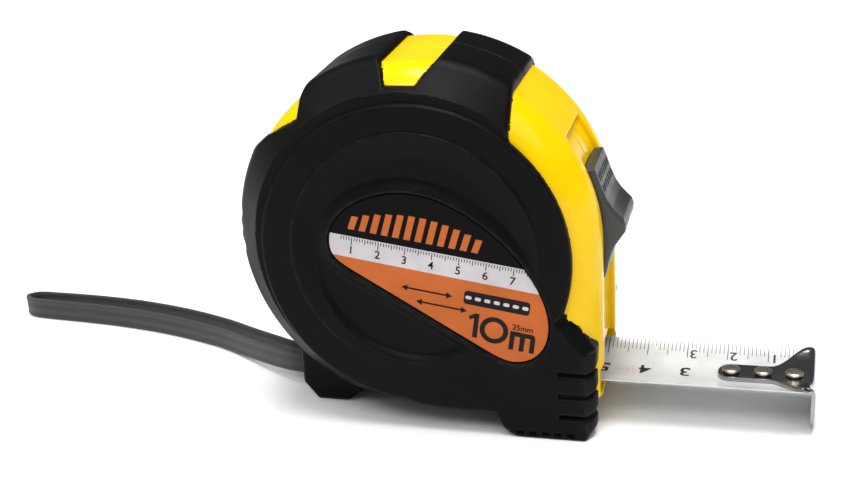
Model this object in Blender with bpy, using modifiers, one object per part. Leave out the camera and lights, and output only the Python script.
"""A 10 m by 25 mm tape measure in a rubber-jacketed case, its blade a little way out and locked.

X runs forward out of the mouth, Y across the case towards the belt clip, and Z up.
The origin is on the foot's underside, in the middle of the case's width.
Sizes below are in millimetres, and MM turns them into Blender's metres.
"""
import math

import bmesh
import bpy
from mathutils import Vector

MM = 0.001
GAP = 0.3                      # between two pieces that touch

# Case: a round drum with a flat bottom and an upright front
CROWN = (-32.0, 47.5)          # centre of the rounded back and top, X and Z
CROWN_R = 44.3
CASE_BOTTOM = 6.6
CORNER_R = 2.5                 # lower front corner
WALL = 2.0
FACE_Y = 19.7                  # outer side face of a shell, before the jacket
SEAM_Y = 0.6                   # plane where the two halves meet, just past the middle
FRONT_X = CROWN[0] + CROWN_R
MOUTH_HALF_W = 13.3
MOUTH_TOP = 15.6
BOSS_R = 2.9
BOSS_Y = 16.2                  # the screw bosses end inside the rounded shoulder
SCREW_CIRCLE_R = 38.6
SCREW_DEG = (62.0, 150.0, 226.0)
CASE_SCREW_Y = (-12.0, 17.4)   # tip and head

# Jacket
JACKET = 1.7                   # thickness round the crown
PLATEAU_Y = 22.0               # flat side face of the jacket
RING = (-31.5, 46.0)           # centre of the raised side disc
RING_R = 38.0
FOOT_X = (-12.0, 11.4)
CHAMFER = ((9.2, PLATEAU_Y), (FOOT_X[1], 18.8))    # foot's front corner, X and Y
ARM_TOP_Z = 23.4               # where the sloping arm meets the foot's upright front
DISC_DEG = (-17.0, 268.0)      # the stretch of the disc's rim between arm and base
LUG_X = (-66.5, -50.0)
LUG_HALF_W = 10.5
BLOCK_FRONT_X = -7.5           # where the top grip ends and the bare front begins
NOTCH_X = 4.6                  # the sole is open between its two cheeks ahead of this
NOTCH_HALF_W = 14.8
LABEL_POCKET = 1.1
LABEL_T = 0.7

# Reel
REEL = (-31.7, 46.5)
POST_R = 4.0
POST_REACH = FACE_Y - 1.5
BARREL_R = 21.8
BARREL_WALL = 1.4
COIL_R = 31.0
COIL_WIDTH = 24.6
FLANGE_R = 34.0
FLANGE_T = 0.8

# Blade
BLADE_W = 25.0
BLADE_T = 0.25
BLADE_Z = 9.0                  # lowest line of the cupped blade
CAMBER_R = 26.0
BLADE_END_X = 60.8             # the zero end, at the hook
BLADE_TAIL_X = 0.2
BLADE_TRAVEL_IN = 48.7         # until the hook's lip meets the case
HALF_ARC = BLADE_W / 2 / CAMBER_R
BLADE_RISE = CAMBER_R * (1 - math.cos(HALF_ARC))

# Hook and its rivets
HOOK_T = 0.9
HOOK_X = 61.9                  # middle of the lip's thickness
HOOK_TAIL_X = 38.9
HOOK_TIP_Z = 0.5
HOOK_LIFT = 0.15               # between the blade and the hook's plate
HOOK_PLAY = 1.0                # the hook shifts by its own thickness and a little more
RIVET_X = (42.1, 49.8, 57.3)
RIVET_HEAD_R = 2.2
SHANK_R = 1.0
RIVET_HOLE_R = SHANK_R + GAP

# Lock
BUTTON_HALF_W = 8.5
CHANNEL_HALF_W = 9.0
CHANNEL_DEPTH = 1.6
CHANNEL_TOP_DEG = 35.5
ARM_R = (39.0, 41.2)
ARM_HALF_W = 6.0
STEM_DEG = (7.0, 11.0)
LOCK_TRAVEL_DEG = 11.0
BRAKE_Z = 12.4                 # underside of the brake pad, just clear of the blade's edges

# Belt clip and strap
CLIP_SCREW = (RING[0], 66.0)
CLIP_HALF_W = 8.0
CLIP_T = 1.0
STRAP_W = 6.0
STRAP_T = 1.2
STRAP_PIN_X = -60.0
PIN_R = 1.2
PIN_Z = (1.2, 11.8)

COLLECTION = bpy.data.collections.new("tape_measure")
CUTTERS = bpy.data.collections.new("cutters")


# ---------------------------------------------------------------- general helpers

def clear_scene():
    for item in list(bpy.data.objects):
        bpy.data.objects.remove(item, do_unlink=True)
    for collection in (COLLECTION, CUTTERS):
        bpy.context.scene.collection.children.link(collection)


def material(name, colour, roughness, metallic=0.0):
    made = bpy.data.materials.new(name)
    made.use_nodes = True
    shader = made.node_tree.nodes["Principled BSDF"]
    shader.inputs["Base Color"].default_value = (*colour, 1.0)
    shader.inputs["Roughness"].default_value = roughness
    shader.inputs["Metallic"].default_value = metallic
    return made


def new_object(name, mesh, group=None):
    item = bpy.data.objects.new(name, mesh)
    (group or COLLECTION).objects.link(item)
    return item


def from_bmesh(name, shape, group=None):
    bmesh.ops.recalc_face_normals(shape, faces=shape.faces)
    mesh = bpy.data.meshes.new(name)
    shape.to_mesh(mesh)
    shape.free()
    return new_object(name, mesh, group)


def finish(item, look, sharp_deg=35):
    """Gives a piece its material and smooth round sides."""
    item.data.materials.clear()
    item.data.materials.append(look)
    item.data.shade_smooth()
    item.data.set_sharp_from_angle(angle=math.radians(sharp_deg))
    return item


def loft(name, rings, group=None):
    """A closed body through rings of equal point count, capped at both ends. Points are in millimetres."""
    shape = bmesh.new()
    rows = [[shape.verts.new(Vector(point) * MM) for point in ring] for ring in rings]
    count = len(rows[0])
    for row, following in zip(rows, rows[1:]):
        for index in range(count):
            after = (index + 1) % count
            shape.faces.new((row[index], row[after], following[after], following[index]))
    shape.faces.new(rows[0])
    shape.faces.new(list(reversed(rows[-1])))
    return from_bmesh(name, shape, group)


def prism(name, outline, y_low, y_high, group=None):
    """An outline in X and Z, carried along Y."""
    return loft(name, [[(x, y, z) for x, z in outline] for y in (y_low, y_high)], group)


def block(name, low, high, group=None):
    (x0, y0, z0), (x1, y1, z1) = low, high
    return prism(name, [(x0, z0), (x1, z0), (x1, z1), (x0, z1)], y0, y1, group)


def cylinder(name, centre, radius, y_low, y_high, group=None, sides=32):
    """A round bar along Y. centre is X and Z."""
    shape = bmesh.new()
    bmesh.ops.create_cone(shape, cap_ends=True, segments=sides, radius1=radius * MM,
                          radius2=radius * MM, depth=(y_high - y_low) * MM)
    item = from_bmesh(name, shape, group)
    item.rotation_euler = (math.radians(90), 0, 0)
    item.location = Vector((centre[0], (y_low + y_high) / 2, centre[1])) * MM
    return item


def upright(name, place, radius, z_low, z_high, group=None, sides=24):
    """A round bar along Z. place is X and Y."""
    shape = bmesh.new()
    bmesh.ops.create_cone(shape, cap_ends=True, segments=sides, radius1=radius * MM,
                          radius2=radius * MM, depth=(z_high - z_low) * MM)
    item = from_bmesh(name, shape, group)
    item.location = Vector((place[0], place[1], (z_low + z_high) / 2)) * MM
    return item


def turned(name, profile, centre, steps=48):
    """A profile of radius and Y, listed down its outer side from +Y, turned about an axis along Y."""
    shape = bmesh.new()
    points = [shape.verts.new((radius * MM, 0, y * MM)) for radius, y in profile]
    for index, point in enumerate(points):
        shape.edges.new((point, points[(index + 1) % len(points)]))
    mesh = bpy.data.meshes.new(name)
    shape.to_mesh(mesh)
    shape.free()
    item = new_object(name, mesh)
    screw = item.modifiers.new("turn", "SCREW")
    screw.steps = screw.render_steps = steps
    screw.use_merge_vertices = True
    screw.merge_threshold = 0.00001
    item.rotation_euler = (math.radians(-90), 0, 0)
    item.location = Vector((centre[0], 0, centre[1])) * MM
    return item


def combine(target, tool, operation):
    """Cuts or joins target with tool at once, so that each later cut sees the result."""
    change = target.modifiers.new(operation.lower(), "BOOLEAN")
    change.operation = operation
    change.object = tool
    bpy.context.view_layer.update()
    evaluated = target.evaluated_get(bpy.context.evaluated_depsgraph_get())
    mesh = bpy.data.meshes.new_from_object(evaluated)
    target.modifiers.clear()
    target.data = mesh
    tool.hide_render = True
    tool.display_type = "WIRE"
    if tool.name not in CUTTERS.objects:
        CUTTERS.objects.link(tool)
        COLLECTION.objects.unlink(tool)
    return target


def cut(target, tool):
    return combine(target, tool, "DIFFERENCE")


def join(target, tool):
    combine(target, tool, "UNION")
    bpy.data.objects.remove(tool, do_unlink=True)
    return target


def arc(centre, radius, start_deg, end_deg, steps):
    points = []
    for step in range(steps + 1):
        angle = math.radians(start_deg + (end_deg - start_deg) * step / steps)
        points.append((centre[0] + radius * math.cos(angle), centre[1] + radius * math.sin(angle)))
    return points


def bezier(start, start_handle, end_handle, end, steps):
    """Points of one cubic stretch, without its last point."""
    points = []
    for step in range(steps):
        t = step / steps
        weights = ((1 - t) ** 3, 3 * t * (1 - t) ** 2, 3 * t * t * (1 - t), t ** 3)
        corners = (start, start_handle, end_handle, end)
        points.append(tuple(sum(w * c[axis] for w, c in zip(weights, corners)) for axis in (0, 1)))
    return points


# ---------------------------------------------------------------- case outline

OUTLINE_STEPS = 44


def case_outline(grow):
    """The case seen from the side, grown by a distance: back and top arc, flat bottom, upright front."""
    radius = CROWN_R + grow
    bottom = CASE_BOTTOM - grow
    front = FRONT_X + grow
    end = 180 + math.degrees(math.asin((CROWN[1] - bottom) / radius))
    corner_r = max(CORNER_R + grow, 0.6)
    corner = (front - corner_r, bottom + corner_r)
    return arc(CROWN, radius, 0, end, OUTLINE_STEPS) + arc(corner, corner_r, -90, 0, 3)


def case_rings(side, steps):
    """Outlines across the case. Each step is a distance from the middle plane and a growth."""
    return [[(x, side * y, z) for x, z in case_outline(grow)] for y, grow in steps]


def seam_reach(side):
    """How far from the middle plane a half starts, counted towards its own side."""
    return side * SEAM_Y + GAP / 2


# Each pair is a distance from the middle plane and the growth of the outline there.
SHELL_OUTSIDE = ((11.5, 0.0), (13.8, -0.6), (16.0, -2.1), (18.2, -4.4), (19.4, -6.4), (FACE_Y, -7.6))
SHELL_INSIDE = ((11.0, -WALL), (14.0, -WALL - 1.0), (16.3, -WALL - 3.0), (FACE_Y - WALL, -WALL - 5.6))


# ---------------------------------------------------------------- shells

def screw_places():
    return [arc(CROWN, SCREW_CIRCLE_R, degrees, degrees, 1)[0] for degrees in SCREW_DEG]


def case_shell(name, side):
    """One half of the yellow case: a cup with screw bosses, the mouth and the lock's channel and slot."""
    start = seam_reach(side)
    inside = case_rings(side, ((start, -WALL),) + SHELL_INSIDE)
    shell = loft(name, inside[::-1] + case_rings(side, ((start, 0.0),) + SHELL_OUTSIDE))
    for place in screw_places():
        ends = sorted((side * start, side * BOSS_Y))
        join(shell, cylinder("boss", place, BOSS_R, *ends, sides=16))
    ends = sorted((side * 15.0, side * (FACE_Y - 0.6)))
    join(shell, cylinder("post_seat", REEL, 6.6, *ends, sides=24))
    ends = sorted((side * 10.0, side * (POST_REACH + GAP)))
    cut(shell, cylinder(name + "_post_hole", REEL, POST_R + GAP, *ends, group=CUTTERS, sides=24))
    cut(shell, mouth_cutter(name + "_mouth"))
    cut(shell, channel_cutter(name + "_channel"))
    cut(shell, slot_cutter(name + "_slot"))
    return shell


def mouth_cutter(name):
    """The opening that the cupped blade runs out through."""
    low = (4.0, -MOUTH_HALF_W, BLADE_Z - 0.6)
    return block(name, low, (FRONT_X + 6, MOUTH_HALF_W, MOUTH_TOP), CUTTERS)


def channel_cutter(name):
    """The shallow channel down the front that the lock button slides in."""
    floor_r = CROWN_R - CHANNEL_DEPTH
    inner = arc(CROWN, floor_r, CHANNEL_TOP_DEG, 0, 16) + [(CROWN[0] + floor_r, 10.0)]
    outer = [(FRONT_X + 6, 10.0)] + arc(CROWN, CROWN_R + 6, 0, CHANNEL_TOP_DEG, 6)
    return prism(name, inner + outer, -CHANNEL_HALF_W, CHANNEL_HALF_W, CUTTERS)


def slot_cutter(name):
    """The slot through the channel's floor for the lock's stem."""
    low, high = STEM_DEG[0] - 1.0, STEM_DEG[1] + LOCK_TRAVEL_DEG + 1.0
    outline = arc(CROWN, CROWN_R - 6, low, high, 8) + arc(CROWN, CROWN_R + 2, high, low, 8)
    return prism(name, outline, -ARM_HALF_W - 0.4, ARM_HALF_W + 0.4, CUTTERS)


def make_shells():
    near = case_shell("near_case_shell", -1)
    far = case_shell("far_case_shell", 1)
    for index, place in enumerate(screw_places()):
        cut(near, cylinder(f"near_pilot_{index}", place, 1.5, -14.0, 2.0, CUTTERS, 16))
        cut(far, cylinder(f"far_clear_{index}", place, 1.8, -2.0, 21.0, CUTTERS, 16))
        cut(far, cylinder(f"far_head_{index}", place, 3.0, 14.5, 21.0, CUTTERS, 20))
    return near, far


# ---------------------------------------------------------------- jackets

# Each pair is a distance from the middle plane and the growth of the outline there.
JACKET_OUTSIDE = ((-1.0, JACKET), (10.5, JACKET), (12.6, 1.3), (15.0, 0.0), (17.5, -2.1),
                  (19.6, -4.2), (21.2, -6.0))
JACKET_INSIDE = ((-2.0, GAP), (11.6, GAP), (13.9, -0.3), (16.2, -1.8), (18.4, -4.1), (19.7, -6.1),
                 (FACE_Y + GAP, -7.3))


def foot_outline(top):
    return [(FOOT_X[0], top), (FOOT_X[0], 3.2), (-9.2, 0.0), (9.2, 0.0), (FOOT_X[1], 2.2),
            (FOOT_X[1], top)]


def face_outline():
    """The flat side face: the disc, the arm that slopes to the front, and the foot."""
    disc = arc(RING, RING_R, *DISC_DEG, OUTLINE_STEPS)
    return disc + [(-14.0, CASE_BOTTOM)] + foot_outline(5.0)[:-1] + [(FOOT_X[1], ARM_TOP_Z)]


def lug_outline():
    return [(LUG_X[1], 12.0), (LUG_X[1] - 1.0, 2.6), (-54.5, 0.0), (-62.8, 0.0), (LUG_X[0], 4.6),
            (LUG_X[0], 20.0), (-60.0, 24.0)]


def bare_front_outline():
    """Everything ahead of the disc, the arm and the foot, where the yellow case shows."""
    meet_deg = math.degrees(math.acos((BLOCK_FRONT_X - RING[0]) / RING_R))
    edge = arc(RING, RING_R, meet_deg, DISC_DEG[0], 14)
    return edge + [(FOOT_X[1], ARM_TOP_Z), (FOOT_X[1], -2.0), (40.0, -2.0), (40.0, 110.0),
                   (BLOCK_FRONT_X, 110.0)]


TOP_WINDOW = ((-36.4, 87.3), (-29.2, 87.3), (-25.6, 92.0), (-25.6, 110.0), (-38.4, 110.0), (-38.4, 92.0))
REAR_WINDOW = ((-58.6, 78.6), (-58.6, 110.0), (-90.0, 110.0), (-90.0, 60.8))


def jacket(name, side):
    """One half of the black jacket: crown band, side disc, sloping arm, foot and strap lug."""
    body = loft(name, case_rings(side, JACKET_OUTSIDE))
    join(body, prism("face", face_outline(), *sorted((side * 17.0, side * PLATEAU_Y))))
    join(body, prism("foot", foot_outline(9.0), *sorted((-side * 1.2, side * 20.5))))
    join(body, prism("lug", lug_outline(), *sorted((-side * 1.4, side * LUG_HALF_W))))
    cut(body, loft(name + "_inside", case_rings(side, JACKET_INSIDE), CUTTERS))
    beyond = sorted((side * seam_reach(side), -side * 40))
    cut(body, block(name + "_seam", (-120, beyond[0], -20), (60, beyond[1], 130), CUTTERS))
    across = sorted((side * 40, -side * 2))
    cut(body, prism(name + "_bare_front", bare_front_outline(), *across, CUTTERS))
    cut(body, prism(name + "_top_window", TOP_WINDOW, *across, CUTTERS))
    cut(body, prism(name + "_rear_window", REAR_WINDOW, *across, CUTTERS))
    cut(body, corner_cutter(name + "_corner", side))
    cut(body, block(name + "_notch", (NOTCH_X, -NOTCH_HALF_W, -2.0), (20.0, NOTCH_HALF_W, 8.0), CUTTERS))
    cut(body, block(name + "_strap_slot", (-72.0, -4.6, 1.9), (-57.0, 4.6, 10.9), CUTTERS))
    pin_hole = upright(name + "_pin_hole", (STRAP_PIN_X, 0.0), PIN_R + GAP, PIN_Z[0] - GAP,
                       PIN_Z[1] + GAP, CUTTERS, 16)
    cut(body, pin_hole)
    return body


def corner_cutter(name, side):
    """Chamfers the foot's front corner, seen from above."""
    (start_x, start_y), (end_x, end_y) = CHAMFER
    flat = [(start_x, 30.0), (start_x, start_y), (end_x, end_y), (30.0, end_y), (30.0, 30.0)]
    rings = [[(x, side * y, z) for x, y in flat] for z in (-2.0, 40.0)]
    return loft(name, rings, CUTTERS)


def label_outline(grow=0.0):
    """A leaf shape: round at both ends and straight below."""
    left, top = (-52.1 - grow, 49.4), (-33.0, 62.6 + grow)
    right, bottom = (1.0 + grow, 30.4), (-7.8, 20.2 - grow)
    foot_in, foot_out = (-14.0 - grow * 0.5, 22.5 - grow * 0.9), (-47.3 - grow * 0.5, 42.6 - grow * 0.9)
    points = bezier(left, (left[0], 56.4), (-43.0, top[1]), top, 10)
    points += bezier(top, (-17.0, top[1]), (right[0], 43.0), right, 14)
    points += bezier(right, (right[0], 24.4), (-2.4, bottom[1]), bottom, 8)
    points += bezier(bottom, (-9.8, bottom[1]), (-12.4, foot_in[1] - 0.9), foot_in, 4)
    points.append(foot_in)
    points += bezier(foot_out, (-50.6, foot_out[1] + 2.2), (left[0], 46.2), left, 6)
    return points


def make_jackets():
    near = jacket("near_jacket", -1)
    far = jacket("far_jacket", 1)
    cut(near, prism("label_pocket", label_outline(GAP), -24.0, -PLATEAU_Y + LABEL_POCKET, CUTTERS))
    for index, place in enumerate(screw_places()):
        cut(far, cylinder(f"jacket_screw_hole_{index}", place, 3.3, 10.0, 30.0, CUTTERS, 20))
    cut(far, cylinder("jacket_clip_hole", CLIP_SCREW, 1.8, 10.0, 30.0, CUTTERS, 16))
    return near, far


def make_label():
    back = -PLATEAU_Y + LABEL_POCKET - GAP
    return prism("label_badge", label_outline(), back - LABEL_T, back)


# ---------------------------------------------------------------- reel

def make_post():
    """The fixed slotted post that the spring's inner end hooks on."""
    post = cylinder("centre_post", REEL, POST_R, -POST_REACH, POST_REACH, sides=24)
    x, z = REEL
    return cut(post, block("post_slot", (x - 0.5, -10.5, z - 0.2), (x + 0.5, 10.5, z + 9.0), CUTTERS))


def make_barrel():
    half = COIL_WIDTH / 2
    outer, inner = BARREL_R, BARREL_R - BARREL_WALL
    return turned("spring_barrel", ((outer, half), (outer, -half), (inner, -half), (inner, half)), REEL)


def make_flange(name, side):
    near, far = sorted((side * (COIL_WIDTH / 2 + GAP), side * (COIL_WIDTH / 2 + GAP + FLANGE_T)))
    return turned(name, ((FLANGE_R, far), (FLANGE_R, near), (POST_R + GAP, near), (POST_R + GAP, far)), REEL)


def make_coil():
    half = COIL_WIDTH / 2
    inner = BARREL_R + GAP
    return turned("blade_coil", ((COIL_R, half), (COIL_R, -half), (inner, -half), (inner, half)), REEL, 60)


def make_power_spring():
    """A spiral steel band from the post out to the barrel's wall."""
    turns, per_turn, band, half = 6, 18, 0.7, 10.0
    inner_r, outer_r = POST_R + 0.6, BARREL_R - BARREL_WALL - GAP - band
    inside, outside = [], []
    for step in range(turns * per_turn + 1):
        angle = 2 * math.pi * step / per_turn
        radius = inner_r + (outer_r - inner_r) * step / (turns * per_turn)
        for points, reach in ((inside, radius), (outside, radius + band)):
            points.append((REEL[0] + reach * math.cos(angle), REEL[1] + reach * math.sin(angle)))
    return prism("power_spring", inside + outside[::-1], -half, half)


# ---------------------------------------------------------------- blade

def cup(z_low, rise, half_w, count=12):
    """Points across a cupped strip: Y and Z from one edge to the other, rise high at the edges."""
    points = []
    for step in range(count + 1):
        angle = HALF_ARC * (2 * step / count - 1)
        y = half_w * math.sin(angle) / math.sin(HALF_ARC)
        points.append((y, z_low + rise * (1 - math.cos(angle)) / (1 - math.cos(HALF_ARC))))
    return points


def strip_ring(x, z_low, rise, half_w, thickness):
    below = cup(z_low, rise, half_w)
    above = [(y, z + thickness) for y, z in reversed(below)]
    return [(x, y, z) for y, z in below + above]


BLADE_HALF_CHORD = CAMBER_R * math.sin(HALF_ARC)


def make_blade():
    ends = (BLADE_TAIL_X, BLADE_END_X)
    blade = loft("blade", [strip_ring(x, BLADE_Z, BLADE_RISE, BLADE_HALF_CHORD, BLADE_T) for x in ends])
    for index, x in enumerate(RIVET_X):
        cut(blade, upright(f"blade_hole_{index}", (x, 0.0), RIVET_HOLE_R, BLADE_Z - 2, BLADE_Z + 2,
                           CUTTERS, 16))
    return blade


def make_blade_run():
    """The blade inside the case: flat at the coil, cupped ahead of it, and clear of the drawn-in hook."""
    edge_z = BLADE_Z + BLADE_RISE + 0.65
    start_x, end_x = REEL[0], HOOK_TAIL_X - BLADE_TRAVEL_IN - 1.5
    steps = 8
    rings = []
    for step in range(steps + 1):
        share = step / steps
        rise = BLADE_RISE * (3 * share ** 2 - 2 * share ** 3)
        half_w = BLADE_W / 2 + (BLADE_HALF_CHORD - BLADE_W / 2) * share
        rings.append(strip_ring(start_x + (end_x - start_x) * share, edge_z - rise, rise, half_w, BLADE_T))
    return loft("blade_run", rings)


# ---------------------------------------------------------------- hook

def hook_half_width(x):
    """The hook's plate: a narrow tongue that flares to the full width at the lip."""
    share = min(max((x - 51.5) / (HOOK_X - 1.2 - 51.5), 0.0), 1.0)
    return 3.6 + 7.6 * share ** 2 * (3 - 2 * share)


def hook_z(y):
    """Height of the plate's mid-surface, a small gap above the cupped blade."""
    lean = math.sqrt(1 - (y / CAMBER_R) ** 2)
    return BLADE_Z + CAMBER_R * (1 - lean) + (BLADE_T + HOOK_LIFT + HOOK_T / 2) / lean


TONGUE = ((HOOK_TAIL_X, 1.2), (HOOK_TAIL_X + 0.7, 2.7), (HOOK_TAIL_X + 2.0, 3.4), (45.0, 3.6))
FLARE_X = (51.5, 53.5, 55.5, 57.5, 59.0, HOOK_X - 1.2)
# Each row of the lip: its drop below the plate, its half width and its place along X.
LIP = ((0.35, 11.1, HOOK_X - 0.35), (1.2, 11.0, HOOK_X), (3.5, 10.6, HOOK_X), (6.5, 9.6, HOOK_X),
       (8.4, 8.2, HOOK_X))
LIP_TIP_HALF_W = 6.2
FLAT_DROP = 6.0                # the lip is straight across from this far down


def hook_rows():
    """Points across the hook, row by row from its tongue to the lip's tip."""
    across = [step / 4 - 1 for step in range(9)]
    rows = []
    for x, half_w in TONGUE + tuple((x, hook_half_width(x)) for x in FLARE_X):
        rows.append([(x, half_w * t, hook_z(half_w * t)) for t in across])
    for drop, half_w, x in LIP:
        cupped = max(0.0, 1 - drop / FLAT_DROP)
        rises = [(hook_z(half_w * t) - hook_z(0.0)) * cupped for t in across]
        rows.append([(x, half_w * t, hook_z(0.0) - drop + rise) for t, rise in zip(across, rises)])
    rows.append([(HOOK_X, LIP_TIP_HALF_W * t, HOOK_TIP_Z) for t in across])
    return rows


def make_hook():
    """One bent sheet: tongue, flared plate and lip, cupped like the blade it lies in."""
    rows = hook_rows()
    shape = bmesh.new()
    grid = [[shape.verts.new(Vector(point) * MM) for point in row] for row in rows]
    for row, following in zip(grid, grid[1:]):
        for index in range(len(row) - 1):
            shape.faces.new((row[index], row[index + 1], following[index + 1], following[index]))
    hook = from_bmesh("end_hook", shape)
    sheet = hook.modifiers.new("sheet", "SOLIDIFY")
    sheet.thickness = HOOK_T * MM
    sheet.offset = 0.0
    for index, x in enumerate(RIVET_X):
        cut(hook, rivet_slot(f"hook_slot_{index}", x))
    return hook


def rivet_slot(name, x):
    """A slot one play longer than the rivet's shank, so that the hook can shift on it."""
    outline = arc((x, 0.0), RIVET_HOLE_R, 90, -90, 7)
    outline += arc((x - HOOK_PLAY, 0.0), RIVET_HOLE_R, 270, 90, 7)
    ends = (BLADE_Z - 0.6, BLADE_Z + 3.4)
    return loft(name, [[(px, py, z) for px, py in outline] for z in ends], CUTTERS)


def make_rivet(index, x):
    """A round-headed rivet through the tongue's slot and the blade."""
    head_z = BLADE_Z + BLADE_T + HOOK_LIFT + HOOK_T + 0.45
    foot_z = BLADE_Z - 0.1
    profile = ((0.8, head_z + 0.75), (1.4, head_z + 0.55), (RIVET_HEAD_R, head_z), (SHANK_R, head_z),
               (SHANK_R, foot_z), (1.8, foot_z), (1.5, foot_z - 0.25))
    sides = 16
    turn = 360 - 360 / sides
    rings = [[(px, py, z) for px, py in arc((x, 0.0), radius, 0, turn, sides - 1)] for radius, z in profile]
    return loft(f"hook_rivet_{index + 1}", rings)


# ---------------------------------------------------------------- lock

BUTTON_TOP = ((7.9, 65.0), (10.0, 65.4), (10.9, 63.0), (12.0, 59.8), (13.1, 57.2), (14.4, 55.2),
              (15.8, 53.7), (16.9, 52.6), (17.4, 51.2), (17.3, 49.6), (16.0, 47.6), (14.6, 45.6),
              (13.6, 42.8), (12.9, 39.8), (12.3, 37.4))


def make_button():
    """The outer cap: a raised grip, a dip for the thumb and a hooked nose."""
    floor_r = CROWN_R - CHANNEL_DEPTH + GAP
    under = [(CROWN[0] + floor_r, BUTTON_TOP[-1][1])] + arc(CROWN, floor_r, 0.0, 23.5, 8)
    button = prism("lock_button", list(BUTTON_TOP) + under, -BUTTON_HALF_W, BUTTON_HALF_W)
    edge = button.modifiers.new("edge", "BEVEL")
    edge.width = 0.5 * MM
    edge.segments = 2
    edge.angle_limit = math.radians(50)
    return button


def make_lock_arm():
    """The curved slider inside the case: a stem out to the button and an arm down to the brake."""
    low_r, high_r = ARM_R
    outline = arc(CROWN, high_r, -46, STEM_DEG[0], 20)
    stem_r = CROWN_R - CHANNEL_DEPTH
    outline += arc(CROWN, stem_r, STEM_DEG[0], STEM_DEG[1], 4)
    outline += arc(CROWN, high_r, STEM_DEG[1], 25, 2)
    outline += arc(CROWN, low_r, 25, -46, 24)
    return prism("lock_arm", outline, -ARM_HALF_W, ARM_HALF_W)


def make_brake_pad():
    """A rubber shoe under the arm's end, which presses the blade's raised edges down."""
    top = arc(CROWN, ARM_R[0] + 0.2, -46.8, -54.0, 3)
    outline = top + [(-8.0, BRAKE_Z), (-1.0, BRAKE_Z), (-1.0, 16.0)]
    return prism("brake_pad", outline, -11.6, 11.6)


# ---------------------------------------------------------------- fasteners, clip and strap

def make_screw(name, place, head_y, tip_y, head_r=2.7, shank_r=1.3):
    head = cylinder(name, place, head_r, head_y - 1.6, head_y, sides=24)
    join(head, cylinder("shank", place, shank_r, tip_y, head_y - 1.0, sides=16))
    cut(head, block(name + "_drive", (place[0] - 2.0, head_y - 0.7, place[1] - 0.35),
                    (place[0] + 2.0, head_y + 1.0, place[1] + 0.35), CUTTERS))
    return head


# Down the clip's middle: height, and distance out from where it is screwed on.
CLIP_PATH = ((72.5, 0.0), (61.0, 0.0), (58.5, 1.2), (56.0, 3.6), (53.0, 4.6), (30.0, 4.6), (22.0, 3.6),
             (17.5, 2.2), (14.5, 3.2))


def make_belt_clip():
    """A bent steel strip on the far side, screwed on at its upper end."""
    offset = PLATEAU_Y + GAP + CLIP_T / 2
    shape = bmesh.new()
    grid = []
    for z, out in CLIP_PATH:
        grid.append([shape.verts.new(Vector((RING[0] + x, offset + out, z)) * MM)
                     for x in (-CLIP_HALF_W, CLIP_HALF_W)])
    for row, following in zip(grid, grid[1:]):
        shape.faces.new((row[0], row[1], following[1], following[0]))
    clip = from_bmesh("belt_clip", shape)
    sheet = clip.modifiers.new("sheet", "SOLIDIFY")
    sheet.thickness = CLIP_T * MM
    sheet.offset = 0.0
    hole = cylinder("clip_hole", CLIP_SCREW, 1.8, 20.0, 26.0, CUTTERS, 16)
    return cut(clip, hole)


# The middle of the band, out of the lug's slot, round the loop's end and back.
STRAP_ROUTE = (
    (-61.0, -2.3, 6.4), (-67.0, -2.2, 6.3), (-73.0, -1.0, 5.9), (-80.0, 3.0, 4.9), (-89.0, 8.6, 3.8),
    (-99.0, 14.2, 3.3), (-111.0, 18.6, 3.2), (-123.0, 21.8, 3.2), (-135.0, 23.9, 3.2), (-147.0, 25.2, 3.2),
    (-158.0, 26.0, 3.2), (-164.5, 26.8, 3.2), (-167.6, 28.9, 3.2), (-164.8, 31.3, 3.2), (-158.0, 31.4, 3.2),
    (-147.0, 31.0, 3.2), (-135.0, 29.9, 3.2), (-123.0, 27.8, 3.2), (-111.0, 24.6, 3.2), (-99.0, 20.0, 3.3),
    (-89.0, 14.4, 3.8), (-80.0, 8.6, 4.9), (-73.0, 4.0, 5.9), (-67.0, 2.2, 6.3), (-61.0, 2.3, 6.4))


def smooth_path(points, per_span):
    """A Catmull-Rom curve through the points."""
    knots = [Vector(point) for point in points]
    knots = [2 * knots[0] - knots[1]] + knots + [2 * knots[-1] - knots[-2]]
    path = []
    for before, start, end, after in zip(knots, knots[1:], knots[2:], knots[3:]):
        for step in range(per_span):
            t = step / per_span
            path.append(0.5 * (2 * start + (end - before) * t
                               + (2 * before - 5 * start + 4 * end - after) * t * t
                               + (3 * start - before - 3 * end + after) * t ** 3))
    return path + [knots[-2]]


# The band's section: across in half thicknesses, up in widths.
STRAP_SECTION = ((1, -0.44), (1, 0.44), (0.4, 0.5), (-0.4, 0.5), (-1, 0.44), (-1, -0.44), (-0.4, -0.5),
                 (0.4, -0.5))


def make_strap():
    """A flat wrist loop standing on its edge, from the lug's slot round and back again."""
    path = smooth_path(STRAP_ROUTE, 2)
    rings = []
    for index, point in enumerate(path):
        ahead = path[min(index + 1, len(path) - 1)] - path[max(index - 1, 0)]
        side = Vector((-ahead.y, ahead.x, 0)).normalized() * STRAP_T / 2
        rings.append([tuple(point + side * across + Vector((0, 0, STRAP_W * up)))
                      for across, up in STRAP_SECTION])
    return loft("wrist_strap", rings)


# ---------------------------------------------------------------- whole tape

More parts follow.
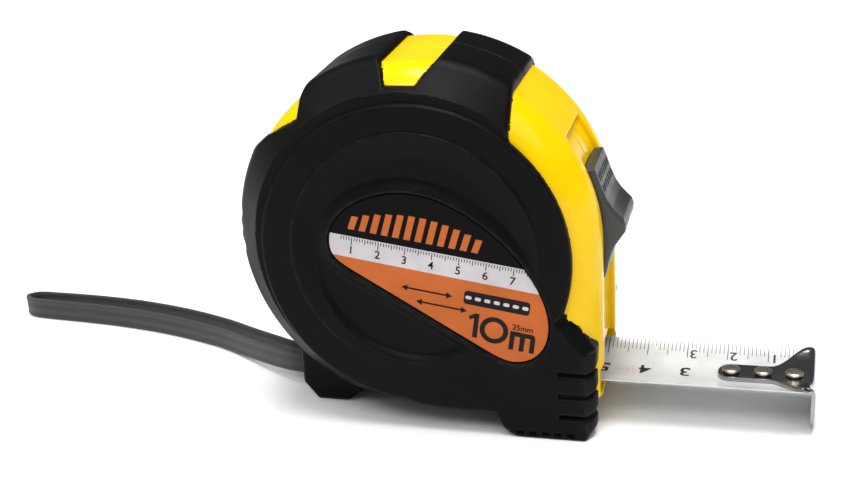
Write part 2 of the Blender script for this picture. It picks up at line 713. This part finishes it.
def pivot(name, place, pieces):
    """Parents pieces to an empty on their joint's axis, leaving them where they are."""
    empty = bpy.data.objects.new(name, None)
    COLLECTION.objects.link(empty)
    empty.location = Vector(place) * MM
    bpy.context.view_layer.update()
    for piece in pieces:
        piece.parent = empty
        piece.matrix_parent_inverse = empty.matrix_world.inverted()


def build():
    clear_scene()
    yellow = material("yellow_abs", (0.95, 0.68, 0.01), 0.25)
    black = material("black_rubber", (0.012, 0.012, 0.013), 0.55)
    grey = material("dark_grey_abs", (0.06, 0.06, 0.062), 0.35)
    steel = material("steel", (0.55, 0.55, 0.55), 0.3, 1.0)
    chrome = material("chrome", (0.75, 0.75, 0.75), 0.12, 1.0)
    white = material("blade_enamel", (0.85, 0.86, 0.85), 0.3)
    orange = material("label_print", (0.75, 0.16, 0.04), 0.4)
    webbing = material("black_webbing", (0.02, 0.018, 0.017), 0.8)

    for shell in make_shells():
        finish(shell, yellow)
    for cover in make_jackets():
        finish(cover, black)
    finish(make_label(), orange)
    finish(make_post(), steel)
    finish(make_power_spring(), steel, 60)
    finish(make_blade_run(), white)
    for index, place in enumerate(screw_places()):
        finish(make_screw(f"case_screw_{index + 1}", place, CASE_SCREW_Y[1], CASE_SCREW_Y[0]), steel)
    finish(make_belt_clip(), chrome)
    finish(make_screw("belt_clip_screw", CLIP_SCREW, PLATEAU_Y + GAP * 2 + 2.6, PLATEAU_Y - 2.0), steel)
    finish(upright("strap_pin", (STRAP_PIN_X, 0.0), PIN_R, *PIN_Z, sides=16), steel)
    finish(make_strap(), webbing)

    reel = [make_barrel(), make_flange("near_reel_flange", -1), make_flange("far_reel_flange", 1)]
    for piece in reel:
        finish(piece, grey)
    reel.append(finish(make_coil(), white))
    pivot("reel_axis", (REEL[0], 0, REEL[1]), reel)

    sliding = [finish(make_blade(), white)]
    for index, x in enumerate(RIVET_X):
        sliding.append(finish(make_rivet(index, x), steel))
    sliding.append(finish(make_hook(), chrome))
    pivot("blade_line", (BLADE_END_X, 0, BLADE_Z), sliding)

    lock = [finish(make_button(), grey), finish(make_lock_arm(), grey), finish(make_brake_pad(), black)]
    pivot("lock_axis", (CROWN[0], 0, CROWN[1]), lock)


build()
